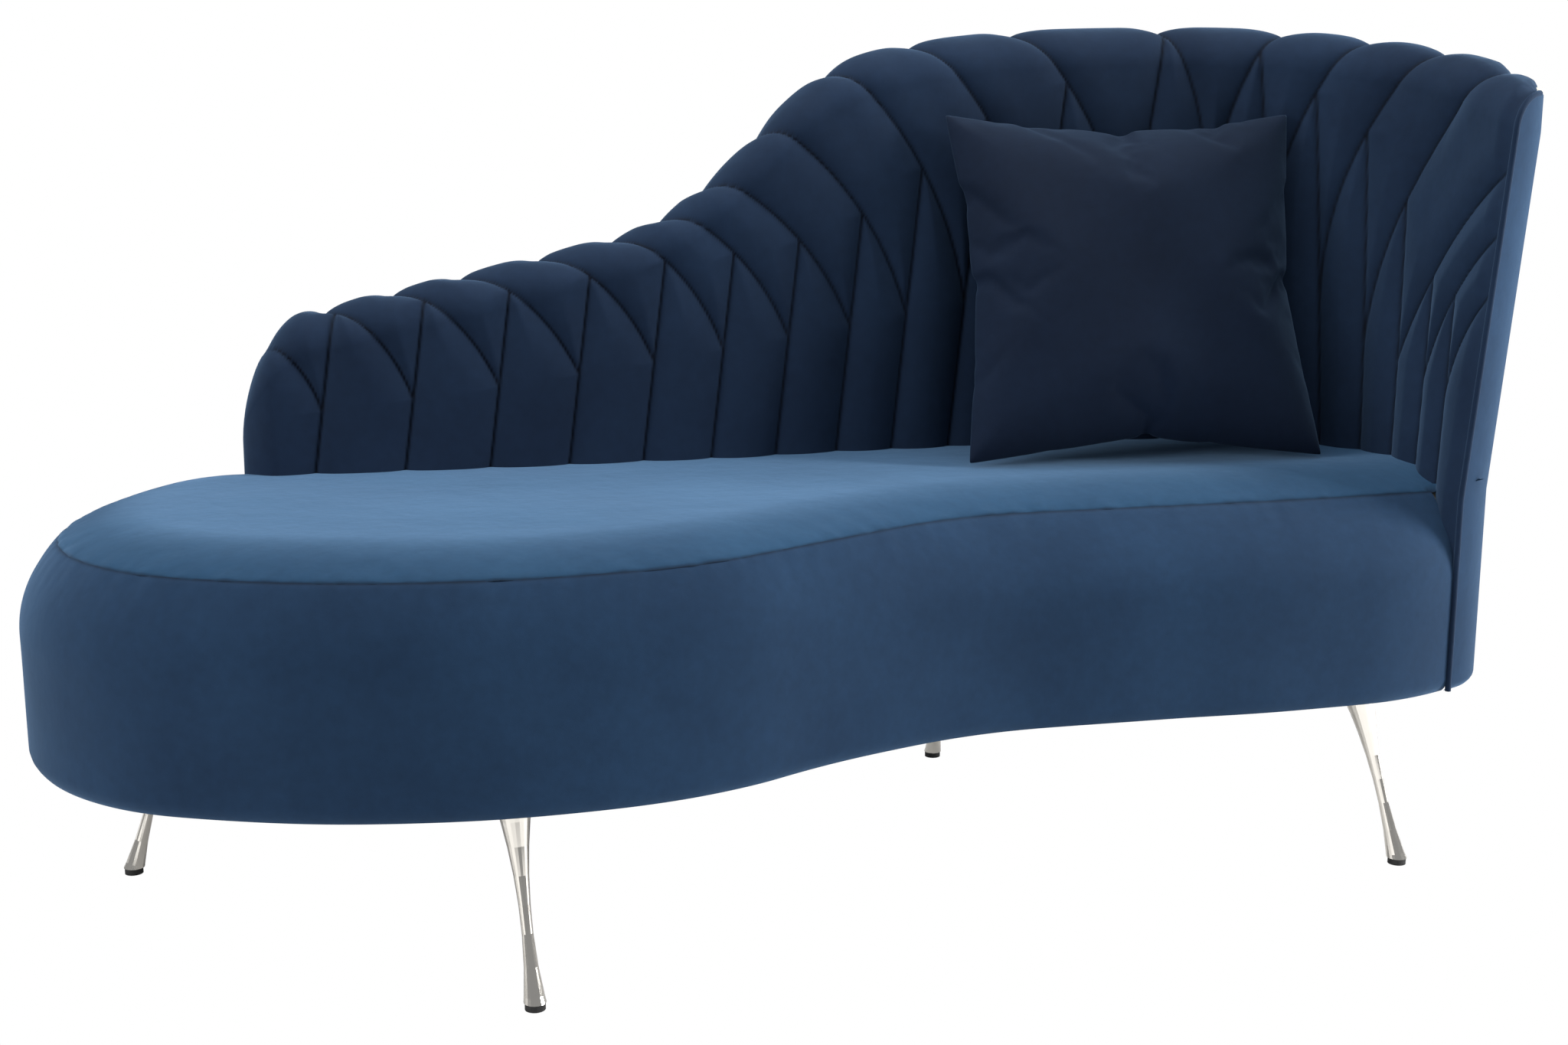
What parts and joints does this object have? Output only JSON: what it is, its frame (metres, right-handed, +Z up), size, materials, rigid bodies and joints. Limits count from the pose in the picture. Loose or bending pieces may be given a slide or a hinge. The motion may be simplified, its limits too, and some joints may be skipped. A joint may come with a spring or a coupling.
{
  "type": "chaise longue",
  "caption": "Asymmetric upholstered chaise longue with a curved seat, a low channelled back that rises and curls into one arm, splayed metal legs and a loose cushion.",
  "frame": {"origin": "centre of the underside of the whole chaise's box, on the floor", "axes": "+X along the chaise to the arm, +Y from the sitter to the back, +Z up"},
  "size_m": [1.6696, 0.663, 0.9369],
  "materials": {
    "velvet": "velvet with a short nap",
    "cushion_velvet": "velvet with a short nap",
    "piping_velvet": "velvet cord",
    "foam": "soft cut foam",
    "wadding": "soft white wadding",
    "plywood": "sanded plywood",
    "timber": "planed softwood",
    "webbing": "woven elastic webbing",
    "lining": "thin black lining",
    "polished_metal": "polished, slightly warm",
    "zinc_steel": "zinc plated",
    "rubber": "matte"
  },
  "bodies": {
    "chaise": {"arm_piping": "piping_velvet", "back_foam": "foam", "back_inner_cover": "velvet", "back_outer_cover": "velvet", "back_posts": "timber", "base_padding": "wadding", "board_studs": "timber", "cross_rails": "timber", "dust_cover": "lining", "glides": "rubber", "inner_back_board": "plywood", "leg_blocks": "timber", "leg_bolts": "zinc_steel", "leg_front": "polished_metal", "leg_left": "polished_metal", "leg_rear": "polished_metal", "leg_right": "polished_metal", "lower_board": "plywood", "outer_back_board": "plywood", "outer_back_padding": "wadding", "seat_foam": "foam", "seat_side_band": "velvet", "seat_top_cover": "velvet", "top_rail": "timber", "upper_board": "plywood", "webbing_across": "webbing", "webbing_along": "webbing"},
    "scatter_cushion": {"cushion_cover": "cushion_velvet", "cushion_filling": "wadding"}
  },
  "joints": [
    {"name": "cushion_lift", "type": "slide", "parent": "chaise", "child": "scatter_cushion", "axis": [0, 0, 1], "range_m": [0, 0.45]}
  ]
}
